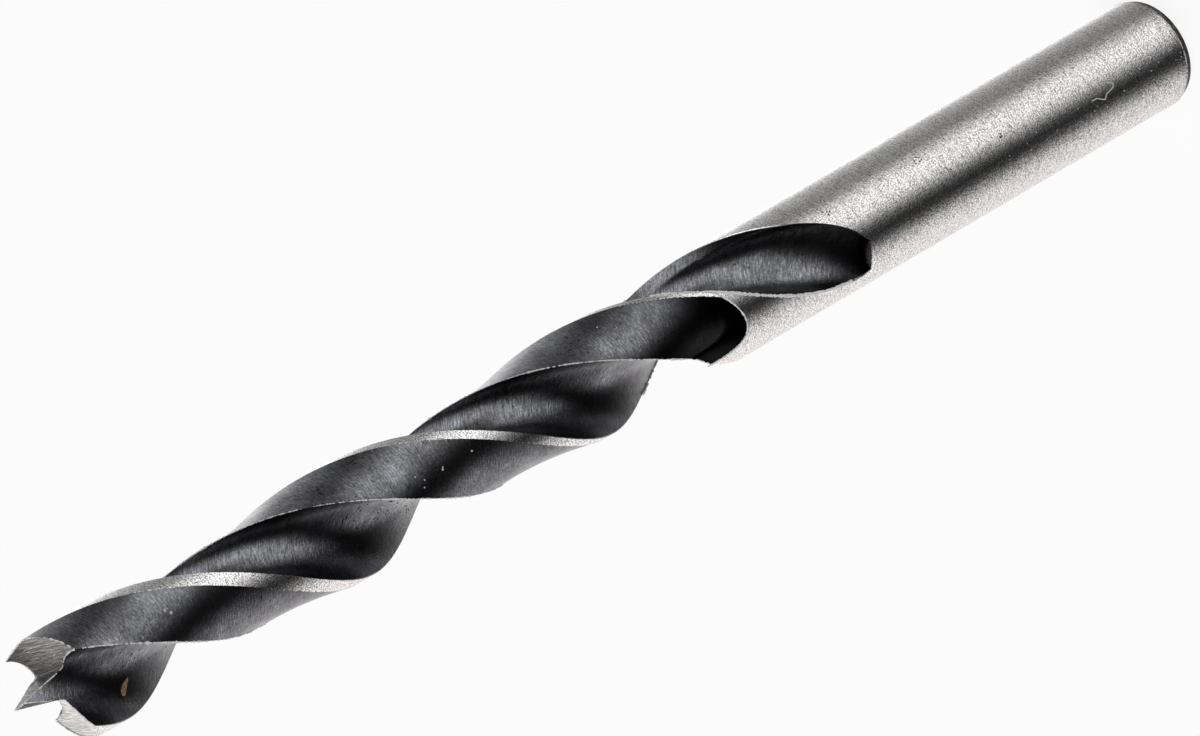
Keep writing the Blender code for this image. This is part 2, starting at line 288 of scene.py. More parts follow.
ring = 2 * COLUMNS
marks_and_painted_shade = np.zeros((len(rows), ring, 6))
marks_and_painted_shade[: len(shank), :, COAT] = -1.0
for k, row in enumerate(rows):
    height = row[:, 2]
    turned = lead_angle(height) - np.arctan2(row[:, 1], row[:, 0])
    psi = turned % math.pi
    section = np.hypot(row[:, 0], row[:, 1])[:, None] * polar(1.0, turned)
    steps = np.hypot(*np.diff(section, axis=0, append=section[:1]).T)
    for side in (0, COLUMNS):
        part = slice(side, side + COLUMNS)
        run = np.concatenate([[0.0], np.cumsum(steps[side : side + COLUMNS - 1])])
        past_heel = run - run[HEEL_COLUMN]
        marks_and_painted_shade[k, part, ACROSS] = past_heel
        marks_and_painted_shade[k, part, ALONG] = height[part]
        if k < len(shank):
            continue
        margin = along_bit(MARGIN_AT_POINT, MARGIN_AT_SHANK, float(height[side])) / BIT_RADIUS
        land = np.arange(COLUMNS) <= HEEL_COLUMN
        from_margin = BIT_RADIUS * (psi[part] - margin)
        from_margin[: MARGIN_STEPS + 1] = run[: MARGIN_STEPS + 1] - run[MARGIN_STEPS]
        to_heel = HEEL_COVER - past_heel
        into_end = (height[part] - clearance_end(psi[part])) * END_SLANT
        above_end = height[part] - FLUTE_END
        to_rim = run[-1] - run
        on_land = np.minimum(np.minimum(from_margin, to_heel), into_end - BARE_RIM)
        in_flute = np.minimum(past_heel + HEEL_COVER, to_rim - BARE_RIM)
        in_flute = np.minimum(in_flute, above_end + BARE_RIM)
        marks_and_painted_shade[k, part, COAT] = np.where(land, on_land, in_flute)
        marks_and_painted_shade[k, part, IN_FLUTE] = np.where(land, 0.0, 1.0)
        at_margin = from_margin < np.minimum(to_heel, into_end)
        marks_and_painted_shade[k, part, JAG] = np.where(land & at_margin, 1.0, QUIET_JAG)
        # The painted shade: full at the run-outs and by the flute's rim, fading over the reaches
        # above.
        run_out_shade = np.where(land, into_end / LAND_SHADE_REACH - 0.2, above_end / FLUTE_SHADE_REACH)
        above_rim_shade = np.clip(above_end - RIM_SHADE_TOP, 0.0, RIM_SHADE_FADE) / RIM_SHADE_FADE
        rim_shade = np.clip(1.2 - to_rim / RIM_SHADE_REACH - above_rim_shade, 0.0, RIM_SHADE_MOST)
        rim_shade = np.where(land, 0.0, rim_shade)
        marks_and_painted_shade[k, part, PAINTED_SHADE] = np.maximum(np.clip(1.15 - run_out_shade, 0.0, 1.0), rim_shade)

bar_mesh = bpy.data.meshes.new("fluted_bar")
index = np.arange(len(rows) * ring).reshape(len(rows), ring)
right = np.roll(index, -1, axis=1)
quads = np.stack([right[:-1], index[:-1], index[1:], right[1:]], axis=-1).reshape(-1, 4)
faces = [tuple(q) for q in quads.tolist()]
faces += [tuple(index[0].tolist()), tuple(index[-1][::-1].tolist())]
bar_mesh.from_pydata((rows.reshape(-1, 3) * MM).tolist(), [], faces)
bar = bpy.data.objects.new("drill_bit_steel", bar_mesh)
bpy.context.scene.collection.objects.link(bar)


# The ground point.
# A wheel takes one wing at a time: a steep wall beside the brad runs out into a flank that falls
# away behind its spur. A second pass bevels both walls, which then meet in a short chisel edge.
POINT_OFFSET = 0.25
BRAD_EDGE_ANGLE = math.radians(121.0)
BRAD_HALF_ANGLE = math.radians(22.5)
BEVEL_ABOVE_SPURS = 0.3
WALL_EDGE_ANGLE = math.radians(139.0)
WALL_HALF_ANGLE = math.radians(11.3)
WALL_STANDOFF = 0.20
WALL_BLEND = 0.8
RELIEF_RADIUS = 3.5
RELIEF_WIDTH = 2.0
FLANK_RISE = math.radians(6.0)
FLANK_FALL = math.radians(7.3)
WHEEL_REACH = BIT_RADIUS * 1.5
ABOVE_BRAD = 2.0
GRIND_STEPS = 61
CORNER_STEPS = 11
FLANK_STEPS = 36
STEEP = 0.6
SHARP_FROM = math.radians(24.0)
MILLED, POINT_GROUND, ROUGH_END, BROWNED, GREYED = range(5)


def flank_height(x, y):
    """The flank of a wing, hollow just behind the cutting edge and falling from the spur."""
    left = np.clip(RELIEF_WIDTH - np.array([y, np.zeros_like(y)]), 0.0, RELIEF_RADIUS * 0.9)
    relief = RELIEF_RADIUS - np.sqrt(RELIEF_RADIUS**2 - left**2)
    slope = math.tan(FLANK_RISE) * (x - BIT_RADIUS) - math.tan(FLANK_FALL) * y
    return SPUR_HEIGHT + slope + relief[0] - relief[1]


def wing_point(out, along, edge, side):
    """A point in a wing's axes, measured from the brad's middle across and along an edge."""
    middle = side * POINT_OFFSET
    x = middle * math.sin(BRAD_EDGE_ANGLE) + out * math.sin(edge) + along * math.cos(edge)
    y = -middle * math.cos(BRAD_EDGE_ANGLE) - out * math.cos(edge) + along * math.sin(edge)
    return x, y


def wall_height(out):
    """Height of the steep wall beside the brad, this far out from its middle."""
    return BIT_LENGTH - (out - WALL_STANDOFF) / math.tan(WALL_HALF_ANGLE)


def wheel_pass(name, side, edge, outs, alongs, heights):
    """A block of what the wheel removes: the ground shape below, a flat lid above."""
    x, y = wing_point(outs, alongs[:, None], edge, side)
    turn = lead_angle(SPUR_HEIGHT) + (0.0 if side > 0 else math.pi)
    placed = wound(np.column_stack([x.ravel(), y.ravel()]), turn)
    low = np.column_stack([placed, heights.ravel()])
    high = np.column_stack([placed, np.full(len(placed), BLANK_TOP + 3.0)])
    count, wide = outs.shape
    lower = np.arange(count * wide).reshape(count, wide)
    upper = lower + count * wide
    block = bmesh.new()
    verts = [block.verts.new(p) for p in (np.vstack([low, high]) * MM).tolist()]
    sheets = [(s[:-1, :-1], s[:-1, 1:], s[1:, 1:], s[1:, :-1]) for s in (lower, upper)]
    for cut in (np.s_[0], np.s_[-1], np.s_[:, 0], np.s_[:, -1]):
        a, b = lower[cut], upper[cut]
        sheets.append((a[:-1], a[1:], b[1:], b[:-1]))
    for sheet in sheets:
        for quad in np.stack(sheet, axis=-1).reshape(-1, 4).tolist():
            block.faces.new([verts[i] for i in quad])
    bmesh.ops.recalc_face_normals(block, faces=block.faces)
    for face in block.faces:
        face.material_index = POINT_GROUND
    mesh = bpy.data.meshes.new(name)
    block.to_mesh(mesh)
    block.free()
    made = bpy.data.objects.new(name, mesh)
    bpy.context.scene.collection.objects.link(made)
    return made


def wall_and_flank(name, side):
    """The pass that leaves one wing's wall and flank, with a hollow corner between them."""
    alongs = np.linspace(-WHEEL_REACH, WHEEL_REACH, GRIND_STEPS)
    blend = WALL_BLEND * math.tan(WALL_HALF_ANGLE)
    rows_out = []
    for along in alongs:
        tried = np.linspace(0.0, BIT_RADIUS, 2001)
        flank = flank_height(*wing_point(tried, along, WALL_EDGE_ANGLE, side))
        foot = tried[np.argmax(wall_height(tried) < flank)]
        lead_in = WALL_STANDOFF - ABOVE_BRAD * math.tan(WALL_HALF_ANGLE)
        corner = foot + blend * np.linspace(-1.0, 1.0, CORNER_STEPS)
        flank_outs = np.linspace(corner[-1], WHEEL_REACH, FLANK_STEPS)[1:]
        rows_out.append(np.concatenate([[lead_in], corner, flank_outs]))
    outs = np.array(rows_out)
    wall = wall_height(outs)
    flank = flank_height(*wing_point(outs, alongs[:, None], WALL_EDGE_ANGLE, side))
    share = np.maximum(WALL_BLEND - abs(wall - flank), 0.0) / WALL_BLEND
    heights = np.maximum(wall, flank) + share**2 * WALL_BLEND / 4
    return wheel_pass(name, side, WALL_EDGE_ANGLE, outs, alongs, heights)


def brad_bevel(name, side):
    """The pass that leaves one flat bevel, from the chisel edge down to its foot."""
    slope = math.tan(BRAD_HALF_ANGLE)
    foot = SPUR_HEIGHT + BEVEL_ABOVE_SPURS
    outs = np.array([[-ABOVE_BRAD * slope, (BIT_LENGTH - foot) * slope, WHEEL_REACH]] * 2)
    heights = np.array([[BIT_LENGTH + ABOVE_BRAD, foot, foot]] * 2)
    alongs = np.array([-WHEEL_REACH, WHEEL_REACH])
    return wheel_pass(name, side, BRAD_EDGE_ANGLE, outs, alongs, heights)


def new_finish(name):
    made = bpy.data.materials.new(name)
    made.use_nodes = True
    made.node_tree.nodes.clear()
    return made


milled_bar_steel = new_finish("tool_steel_ground_and_black_oxide")
point_ground_steel = new_finish("tool_steel_point_ground")
worn_end_steel = new_finish("tool_steel_rough_chamfer")
browned_bevel_steel = new_finish("tool_steel_bevel_heat_browned")
greyed_bevel_steel = new_finish("tool_steel_bevel_ground_dull")
finishes = [milled_bar_steel, point_ground_steel, worn_end_steel]
finishes += [browned_bevel_steel, greyed_bevel_steel]
blocks = [wall_and_flank("first_wing_pass", 1), brad_bevel("first_bevel_pass", 1)]
blocks += [wall_and_flank("second_wing_pass", -1), brad_bevel("second_bevel_pass", -1)]
for piece in [bar] + blocks:
    for finish in finishes:
        piece.data.materials.append(finish)
for block, steep_finish in zip(blocks, (GREYED, GREYED, GREYED, BROWNED)):
    for face in block.data.polygons:
        if abs(face.normal.z) < STEEP:
            face.material_index = steep_finish
for block in blocks:
    cut = bar.modifiers.new(block.name, "BOOLEAN")
    cut.operation = "DIFFERENCE"
    cut.solver = "EXACT"
    cut.object = block
ground = bpy.data.meshes.new_from_object(
    bar.evaluated_get(bpy.context.evaluated_depsgraph_get())
)
bar.modifiers.clear()
bar.data = ground
for block in blocks:
    bpy.data.objects.remove(block, do_unlink=True)

# The marks and the painted shade come back onto the ground mesh from the nearest point of the bar
# before grinding.
known = KDTree(rows.shape[0] * ring)
for i, p in enumerate(rows.reshape(-1, 3) * MM):
    known.insert(p, i)
known.balance()
nearest = [known.find(v.co)[1] for v in ground.vertices]
values = marks_and_painted_shade.reshape(-1, 6)[nearest].astype(np.float32)
for name, column in (("coat", COAT), ("jag", JAG), ("run_out_shade", PAINTED_SHADE)):
    kept = ground.attributes.new(name, "FLOAT", "POINT")
    kept.data.foreach_set("value", values[:, column].copy())
lay = ground.attributes.new("lay", "FLOAT_VECTOR", "POINT")
lay.data.foreach_set("vector", values[:, ACROSS : IN_FLUTE + 1].ravel())
ground.shade_smooth()
for face in ground.polygons:
    if face.material_index == MILLED and face.center.z < CHAMFER_LENGTH * MM:
        face.material_index = ROUGH_END
ground.set_sharp_from_angle(angle=SHARP_FROM)

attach(bar, "root")
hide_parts("drill_bit")


# Steel finishes.
# Shank and margins are cylindrically ground after blacking: bright, with a fine sparkling grain.
# Flutes and clearances keep their black oxide over short milling marks that run across the cut.
GRAIN = 0.11
GRAIN_RING = 0.9
RING_SHARE = 0.22
GROUND_TONES = [(0.38, "#8b8887"), (0.46, "#cfccca"), (0.54, "#fffefd")]
MILLING_MARK = 0.10
MARK_LENGTH = 0.55
FLUTE_MARK_SLANT = 0.62
OXIDE_SCALE = 0.16
OXIDE_CLOUD = 2.2
SCALE_SHARE = 0.45
CLOUD_SHARE = 0.28
OXIDE_TONES = [(0.36, "#373739"), (0.45, "#59595c"), (0.55, "#7f8085"), (0.68, "#b2b4ba")]
PIT = 0.30
PIT_PATCH = 3.2
PIT_BLACK = 0.8
# How dark the painted shade at the run-outs and the flute's rim goes, and the black that the pits
# and that painted shade are drawn in.
PAINTED_SHADE_DEPTH = 0.98
PIT_AND_SHADE_BLACK = "#131213"
MARGIN_JAG = 0.07
MARGIN_TOOTH = (0.35, 0.16, 0.3)
GROUND_ROUGH = (0.25, 0.14)
OXIDE_ROUGH = (0.30, 0.17)
BAR_RELIEF = 0.021


def linear(hex_colour):
    parts = [int(hex_colour[i : i + 2], 16) / 255 for i in (1, 3, 5)]
    return [p / 12.92 if p <= 0.04045 else ((p + 0.055) / 1.055) ** 2.4 for p in parts] + [1.0]


def node(tree, kind, inputs=None, output=0, stops=None, **settings):
    """Adds a node and gives its output. Inputs are values or outputs; stops are a ramp's."""
    made = tree.nodes.new(kind)
    for name, value in settings.items():
        setattr(made, name, value)
    for key, value in (inputs or {}).items():
        if isinstance(value, bpy.types.NodeSocket):
            tree.links.new(value, made.inputs[key])
        else:
            made.inputs[key].default_value = value
    if stops:
        elements = made.color_ramp.elements
        while len(elements) < len(stops):
            elements.new(0.5)
        for element, (at, colour) in zip(elements, stops):
            element.position = at
            element.color = linear(colour) if isinstance(colour, str) else colour
    return made.outputs[output] if made.outputs else made


def object_place(tree):
    """Place on the bit in millimetres."""
    at = node(tree, "ShaderNodeTexCoord", output="Object")
    return node(tree, "ShaderNodeMapping", {"Vector": at, "Scale": (1 / MM,) * 3})


def metal(tree, colour, rough, height, depth):
    """The finish's surface: coloured metal with a fine relief this deep in millimetres."""
    relief = {"Strength": 1.0, "Distance": depth * MM, "Height": height}
    bump = node(tree, "ShaderNodeBump", relief)
    look = {"Metallic": 1.0, "Base Color": colour, "Roughness": rough, "Normal": bump}
    surface = node(tree, "ShaderNodeBsdfPrincipled", look)
    node(tree, "ShaderNodeOutputMaterial", {"Surface": surface})


# Milling marks lie across each cut, straight on the land and slanting in the flute.
tree = milled_bar_steel.node_tree
place = object_place(tree)
lay_at = node(tree, "ShaderNodeAttribute", output="Vector", attribute_name="lay")
lay = node(tree, "ShaderNodeSeparateXYZ", {"Vector": lay_at}).node.outputs
slant = node(tree, "ShaderNodeMath", {0: lay["X"], 1: -FLUTE_MARK_SLANT}, operation="MULTIPLY")
slant = node(tree, "ShaderNodeMath", {0: slant, 1: lay["Z"]}, operation="MULTIPLY")
along = node(tree, "ShaderNodeMath", {0: lay["Y"], 1: slant}, operation="ADD")
mark_place = node(tree, "ShaderNodeCombineXYZ", {"X": lay["X"], "Y": along, "Z": lay["Z"]})

# Each pattern: where it lies, its size along three axes, and how much fine detail it holds.
# The wheel's real marks on the shank are a few hundredths of a millimetre wide. They are too
# fine to show, so its grain is drawn at a tenth.
patterns = {
    "specks": (place, (GRAIN,) * 3, 3.0, 0.75),
    "rings": (place, (GRAIN_RING, GRAIN_RING, GRAIN), 3.0, 0.6),
    "milling": (mark_place, (MARK_LENGTH, MILLING_MARK, 0.15), 3.0, 0.6),
    "scale": (place, (OXIDE_SCALE,) * 3, 4.0, 0.75),
    "clouds": (place, (OXIDE_CLOUD,) * 3, 5.0, 0.65),
    "pits": (place, (PIT,) * 3, 3.0, 0.6),
    "patches": (place, (PIT_PATCH,) * 3, 2.0, 0.5),
    "border": (mark_place, MARGIN_TOOTH, 3.0, 0.7),
}
drawn = {}
for name, (at, sizes, detail, fineness) in patterns.items():
    scaled = node(tree, "ShaderNodeMapping", {"Vector": at, "Scale": [1 / s for s in sizes]})
    look = {"Vector": scaled, "Scale": 1.0, "Detail": detail, "Roughness": fineness}
    drawn[name] = node(tree, "ShaderNodeTexNoise", look, "Fac")

# A Mix node's sockets share their names and go by number: 0 is the share, 2 and 3 are the
# numbers and 6 and 7 the colours that it mixes.
grain = node(tree, "ShaderNodeMix", {0: RING_SHARE, 2: drawn["specks"], 3: drawn["rings"]})
bright = node(tree, "ShaderNodeValToRGB", {"Fac": grain}, stops=GROUND_TONES)
cut_and_scale = {0: SCALE_SHARE, 2: drawn["milling"], 3: drawn["scale"]}
texture = node(tree, "ShaderNodeMix", cut_and_scale)
oxide_tone = node(tree, "ShaderNodeMix", {0: CLOUD_SHARE, 2: texture, 3: drawn["clouds"]})
oxide = node(tree, "ShaderNodeValToRGB", {"Fac": oxide_tone}, stops=OXIDE_TONES)

# Pits where the oxide has flaked, in patches, and painted shade where the wheel runs out and
# along the flute's rim: both darken the oxide's colour.
limits = {"Value": drawn["pits"], "From Min": 0.60, "From Max": 0.64}
pits = node(tree, "ShaderNodeMapRange", limits)
limits = {"Value": drawn["patches"], "From Min": 0.56, "From Max": 0.62}
patches = node(tree, "ShaderNodeMapRange", limits)
pitted = node(tree, "ShaderNodeMath", {0: pits, 1: patches}, operation="MULTIPLY")
pitted = node(tree, "ShaderNodeMath", {0: pitted, 1: PIT_BLACK}, operation="MULTIPLY")
painted_shade_share = node(tree, "ShaderNodeAttribute", output="Fac", attribute_name="run_out_shade")
painted_shade_dark = node(tree, "ShaderNodeMath", {0: painted_shade_share, 1: PAINTED_SHADE_DEPTH}, operation="MULTIPLY")
pits_and_painted_shade = node(tree, "ShaderNodeMath", {0: pitted, 1: painted_shade_dark}, operation="MAXIMUM")
pitted_and_shaded = {0: pits_and_painted_shade, 6: oxide, 7: linear(PIT_AND_SHADE_BLACK)}
oxide = node(tree, "ShaderNodeMix", pitted_and_shaded, 2, data_type="RGBA")

# The border of the black wanders with the milling marks, and bare edges are worn bright.
limits = {"Value": drawn["border"], "From Min": 0.3, "From Max": 0.7}
limits.update({"To Min": -MARGIN_JAG, "To Max": MARGIN_JAG})
tooth = node(tree, "ShaderNodeMapRange", limits)
jag = node(tree, "ShaderNodeAttribute", output="Fac", attribute_name="jag")
shift = node(tree, "ShaderNodeMath", {0: tooth, 1: jag}, operation="MULTIPLY")
coat = node(tree, "ShaderNodeAttribute", output="Fac", attribute_name="coat")
border = node(tree, "ShaderNodeMath", {0: coat, 1: shift}, operation="ADD")
limits = {"Value": border, "From Min": -0.012, "From Max": 0.016}
black = node(tree, "ShaderNodeMapRange", limits)
colour = node(tree, "ShaderNodeMix", {0: black, 6: bright, 7: oxide}, 2, data_type="RGBA")
gloss = []
for tone, (dark_rough, pale_rough) in ((grain, GROUND_ROUGH), (oxide_tone, OXIDE_ROUGH)):
    limits = {"Value": tone, "From Min": 0.35, "From Max": 0.65}
    limits.update({"To Min": dark_rough, "To Max": pale_rough})
    gloss.append(node(tree, "ShaderNodeMapRange", limits))
rough = node(tree, "ShaderNodeMix", {0: black, 2: gloss[0], 3: gloss[1]})
height = node(tree, "ShaderNodeMix", {0: black, 2: grain, 3: texture})
metal(tree, colour, rough, height, BAR_RELIEF)


def marked_steel(finish, sizes, stops, rough, depth, turn=0.0, fineness=0.7):
    """Steel whose tone, gloss and relief follow one pattern of cuts, turned round the bit."""
    tree = finish.node_tree
    lain = {"Vector": object_place(tree), "Angle": turn}
    lain = node(tree, "ShaderNodeVectorRotate", lain, rotation_type="Z_AXIS")
    scaled = node(tree, "ShaderNodeMapping", {"Vector": lain, "Scale": [1 / s for s in sizes]})
    look = {"Vector": scaled, "Scale": 1.0, "Detail": 4.0, "Roughness": fineness}
    cuts = node(tree, "ShaderNodeTexNoise", look, "Fac")
    colour = node(tree, "ShaderNodeValToRGB", {"Fac": cuts}, stops=stops)
    limits = {"Value": cuts, "From Min": 0.3, "From Max": 0.7}
    limits.update({"To Min": rough[0], "To Max": rough[1]})
    metal(tree, colour, node(tree, "ShaderNodeMapRange", limits), cuts, depth)


# The point is ground last by a cup wheel, which leaves straight parallel lines and a soft shine.
GRIND_LINE = (1.5, 0.065, 0.4)
point_tones = [(0.34, "#85817e"), (0.50, "#c0bcb9"), (0.64, "#f0eeec")]
line_turn = WALL_EDGE_ANGLE - lead_angle(SPUR_HEIGHT)
marked_steel(point_ground_steel, GRIND_LINE, point_tones, (0.26, 0.40), 0.02, line_turn)

# The first bevel is dull from a worn wheel, the second got hot under it and is left brown.
grey_tones = [(0.36, "#4f5154"), (0.52, "#787a7d"), (0.68, "#a8aaac")]
marked_steel(greyed_bevel_steel, (0.3, 0.3, 0.10), grey_tones, (0.5, 0.36), 0.02)
brown_tones = [(0.36, "#281d18"), (0.52, "#463830"), (0.68, "#6f6258")]
marked_steel(browned_bevel_steel, (0.3, 0.3, 0.12), brown_tones, (0.5, 0.36), 0.02)

# The chamfer at the shank end is turned roughly and left darker and browner than the shank.
TURNING_RING = (0.5, 0.5, 0.12)
end_tones = [(0.38, "#453f3b"), (0.54, "#857e78"), (0.68, "#cfc9c3")]
marked_steel(worn_end_steel, TURNING_RING, end_tones, (0.55, 0.40), 0.03, fineness=0.75)


# Worn edges and their painted glint.
# The sharp edges lose their black first. Fine broken beads of bare steel run along the heels,
# round the ground point, round the clearance's end and along the flute's rim by the shank.
# Their matt white is a painted highlight that stands for the glint of the bare steel.
BEAD = 0.06
BEAD_SIDES = 6
BEAD_STEP = 0.06
WORN_GRAIN = 0.16
WORN_PATCH = 1.7
HEEL_WORN = (CLEARANCE_END + 3.7, SPUR_HEIGHT - 1.9)
RIM_WORN = (FLUTE_END + 2.0, CLEARANCE_END + 6.0)
POINT_WORN_FROM = SPUR_HEIGHT - 4.0
# How wide the beads are along each line, as a share of BEAD, and how broken the line is.
HEEL_WIDTH = 1.0
HEEL_GAP = 0.15
HEEL_EXTRA = 0.5
HEEL_EXTRA_FROM = SPUR_HEIGHT - 9.0
RIM_WIDTH = 1.7
RIM_GAP = -0.4
CLEARANCE_END_WIDTH = 1.1
CLEARANCE_END_GAP = -0.1
CHAMFER_WIDTH = 0.5
CHAMFER_GAP = 0.3
POINT_WIDTH = 0.9
POINT_GAP = 0.1
HEEL_CORNER_EXTRA = 1.3
HEEL_CORNER_REACH = 0.8
# Edges of the point that bend by more than this wear: towards the black bar, and among the
# ground faces.
BEND_TO_BAR = 0.35
BEND_IN_POINT = 0.7

bead_verts = []
bead_faces = []


def kept_in(point):
    """The point, moved inside the bar's own height and width where it lies past them."""
    x, y, z = point
    reach = BIT_RADIUS
    return [min(max(x, -reach), reach), min(max(y, -reach), reach), min(max(z, 0.0), BIT_LENGTH)]


def bead(line, widths, gap):
    """A bead along a line of points in millimetres, left out wherever its wear falls away."""
    wear = []
    for p, width in zip(line, widths):
        fine = wander.noise(Vector(p) / WORN_GRAIN)
        broad = wander.noise(Vector(p) / WORN_PATCH + Vector((7.0, 3.0, 5.0)))
        wear.append(BEAD * width * min(max(0.75 + 0.9 * fine + 0.8 * broad - gap, 0.0), 1.6))
    for p, q, first, second in zip(line, line[1:], wear, wear[1:]):
        p, q = Vector(p), Vector(q)
        if max(first, second) < 0.3 * BEAD or (q - p).length < 1e-6:
            continue
        way = (q - p).normalized()
        outward = Vector((p.x, p.y, 0.0)).normalized()
        across = way.cross(outward).normalized()
        outward = across.cross(way)
        start = len(bead_verts)
        for at, reach in ((p, first), (q, second)):
            for k in range(BEAD_SIDES):
                turn = 2 * math.pi * k / BEAD_SIDES
                spoke = math.cos(turn) * across + math.sin(turn) * outward
                bead_verts.append(kept_in(at + max(reach, 0.003) * spoke))
        for k in range(BEAD_SIDES):
            a, b = start + k, start + (k + 1) % BEAD_SIDES
            bead_faces.append((a, b, b + BEAD_SIDES, a + BEAD_SIDES))
        bead_faces.append(tuple(start + k for k in range(BEAD_SIDES))[::-1])
        bead_faces.append(tuple(start + BEAD_SIDES + k for k in range(BEAD_SIDES)))


def fine_line(points):
    """The same line with a point every few hundredths of a millimetre."""
    points = np.array(points)
    reach = np.concatenate([[0.0], np.cumsum(np.linalg.norm(np.diff(points, axis=0), axis=1))])
    at = np.arange(0.0, reach[-1], BEAD_STEP)
    return np.column_stack([np.interp(at, reach, points[:, k]) for k in range(3)]).tolist()


def column_line(column, span, turn):
    """One column of the section, followed up the bit between two heights."""
    line = []
    for z in np.arange(*span, 0.2):
        corner = section_at(np.full(COLUMNS, z))[column][None]
        x, y = wound(corner, lead_angle(z) + turn)[0]
        line.append((x, y, z))
    return fine_line(line)


for turn in (0.0, math.pi):
    line = column_line(HEEL_COLUMN, HEEL_WORN, turn)
    widths = [HEEL_WIDTH + HEEL_EXTRA * (p[2] > HEEL_EXTRA_FROM) for p in line]
    bead(line, widths, HEEL_GAP)
    line = column_line(-1, RIM_WORN, turn + math.pi)
    bead(line, [RIM_WIDTH] * len(line), RIM_GAP)
    end_line = []
    for angle in np.linspace(0.02, LAND_ANGLE + 0.04, 60):
        z = float(clearance_end(angle))
        x, y = wound(polar(np.array([BIT_RADIUS]), np.array([angle])), lead_angle(z) + turn)[0]
        end_line.append((x, y, z))
    line = fine_line(end_line)
    bead(line, [CLEARANCE_END_WIDTH] * len(line), CLEARANCE_END_GAP)
chamfer_turns = np.linspace(0, 2 * math.pi, 240)
chamfer_ring = polar(BIT_RADIUS, chamfer_turns)
line = fine_line([(x, y, CHAMFER_LENGTH) for x, y in chamfer_ring])
bead(line, [CHAMFER_WIDTH] * len(line), CHAMFER_GAP)

# Along the point's edges the bead is widest at the heel's corner, which rubs first.
edges_of_point = bmesh.new()
edges_of_point.from_mesh(ground)
for edge in edges_of_point.edges:
    if len(edge.link_faces) != 2 or edge.verts[0].co.z < POINT_WORN_FROM * MM:
        continue
    one, other = edge.link_faces
    ground_sides = (one.material_index > MILLED) + (other.material_index > MILLED)
    bend = one.normal.angle(other.normal, 0.0)
    least_bend = (math.inf, BEND_TO_BAR, BEND_IN_POINT)[ground_sides]
    if bend > least_bend:
        line = fine_line([v.co / MM for v in edge.verts]) + [(edge.verts[1].co / MM)[:]]
        widths = []
        for x, y, z in line:
            psi = (lead_angle(z) - math.atan2(y, x)) % math.pi
            from_heel = BIT_RADIUS * (psi - LAND_ANGLE)
            below_rim = BIT_RADIUS - HEEL_RELIEF - math.hypot(x, y)
            near = math.exp(-(from_heel**2 + below_rim**2) / HEEL_CORNER_REACH**2)
            widths.append(POINT_WIDTH + HEEL_CORNER_EXTRA * near)
        bead(line, widths, POINT_GAP)
edges_of_point.free()


def dull_finish(name, sizes, stops, rough, detail=3.0):
    """A finish that isn't metal: one soft pattern in a few tones."""
    made = new_finish(name)
    tree = made.node_tree
    scale = [1 / s for s in sizes]
    scaled = node(tree, "ShaderNodeMapping", {"Vector": object_place(tree), "Scale": scale})
    look = {"Vector": scaled, "Scale": 1.0, "Detail": detail, "Roughness": 0.6}
    pattern = node(tree, "ShaderNodeTexNoise", look, "Fac")
    colour = node(tree, "ShaderNodeValToRGB", {"Fac": pattern}, stops=stops)
    surface = node(tree, "ShaderNodeBsdfPrincipled", {"Base Color": colour, "Roughness": rough})
    node(tree, "ShaderNodeOutputMaterial", {"Surface": surface})
    return made


# The rubbed bare steel is drawn matt white, a painted highlight for the glint that so thin an
# edge scatters every way.
bead_mesh = bpy.data.meshes.new("worn_edges_painted_glint")
bead_mesh.from_pydata((np.array(bead_verts) * MM).tolist(), [], bead_faces)
bead_mesh.shade_smooth()
worn_edges_painted_glint = bpy.data.objects.new("worn_edges_painted_glint", bead_mesh)
bpy.context.scene.collection.objects.link(worn_edges_painted_glint)
bare_edge_glint_tones = [(0.30, "#d6d4d2"), (0.5, "#ffffff")]
bead_mesh.materials.append(
    dull_finish("tool_steel_worn_edge_painted_glint", (0.12,) * 3, bare_edge_glint_tones, 0.4, detail=2.0)
)
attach(worn_edges_painted_glint, "root")


# The camera.
# A long lens looks at the standing bit from beyond its point, so far off that it hardly tapers.
# Its place and turn were fitted to edges measured in the photo.
PHOTO_WIDTH = 1200
PHOTO_HEIGHT = 736
FOCAL_PIXELS = 15702
# Turn, tilt and roll of the bit in the view, in radians.
AXIS_TURN = 0.5283
AXIS_TILT = 0.7142
SPIN = 0.0615
# A height on the bit's axis, and how far right of, below and before the lens that point lies.
SEEN_HEIGHT = 53.97
SEEN_AT = (3.073, -1.475, 1060.5)
near = (
    math.sin(AXIS_TILT) * math.cos(AXIS_TURN),
    -math.sin(AXIS_TILT) * math.sin(AXIS_TURN),
    -math.cos(AXIS_TILT),
)
side = (math.sin(AXIS_TURN), math.cos(AXIS_TURN), 0.0)
axis = (
    math.cos(AXIS_TILT) * math.cos(AXIS_TURN),
    -math.cos(AXIS_TILT) * math.sin(AXIS_TURN),
    math.sin(AXIS_TILT),
)
spin = Matrix.Rotation(-SPIN, 3, "Z")
right_way, down_way, into_way = [spin @ Vector((near[i], -side[i], -axis[i])) for i in range(3)]
place_of_camera = Vector((0.0, 0.0, SEEN_HEIGHT)) - (
    right_way * SEEN_AT[0] + down_way * SEEN_AT[1] + into_way * SEEN_AT[2]
)
camera_data = bpy.data.cameras.new("photo_camera")
camera = bpy.data.objects.new("photo_camera", camera_data)
bpy.context.scene.collection.objects.link(camera)
camera_data.sensor_fit = "HORIZONTAL"
camera_data.sensor_width = 36.0
camera_data.lens = FOCAL_PIXELS / PHOTO_WIDTH * 36.0
camera_data.clip_start = 0.05
camera_data.clip_end = 10.0
camera.matrix_world = Matrix(
    [
        [right_way[i], -down_way[i], -into_way[i], place_of_camera[i] * MM]
        for i in range(3)
    ]
    + [[0.0, 0.0, 0.0, 1.0]]
)
bpy.context.scene.camera = camera


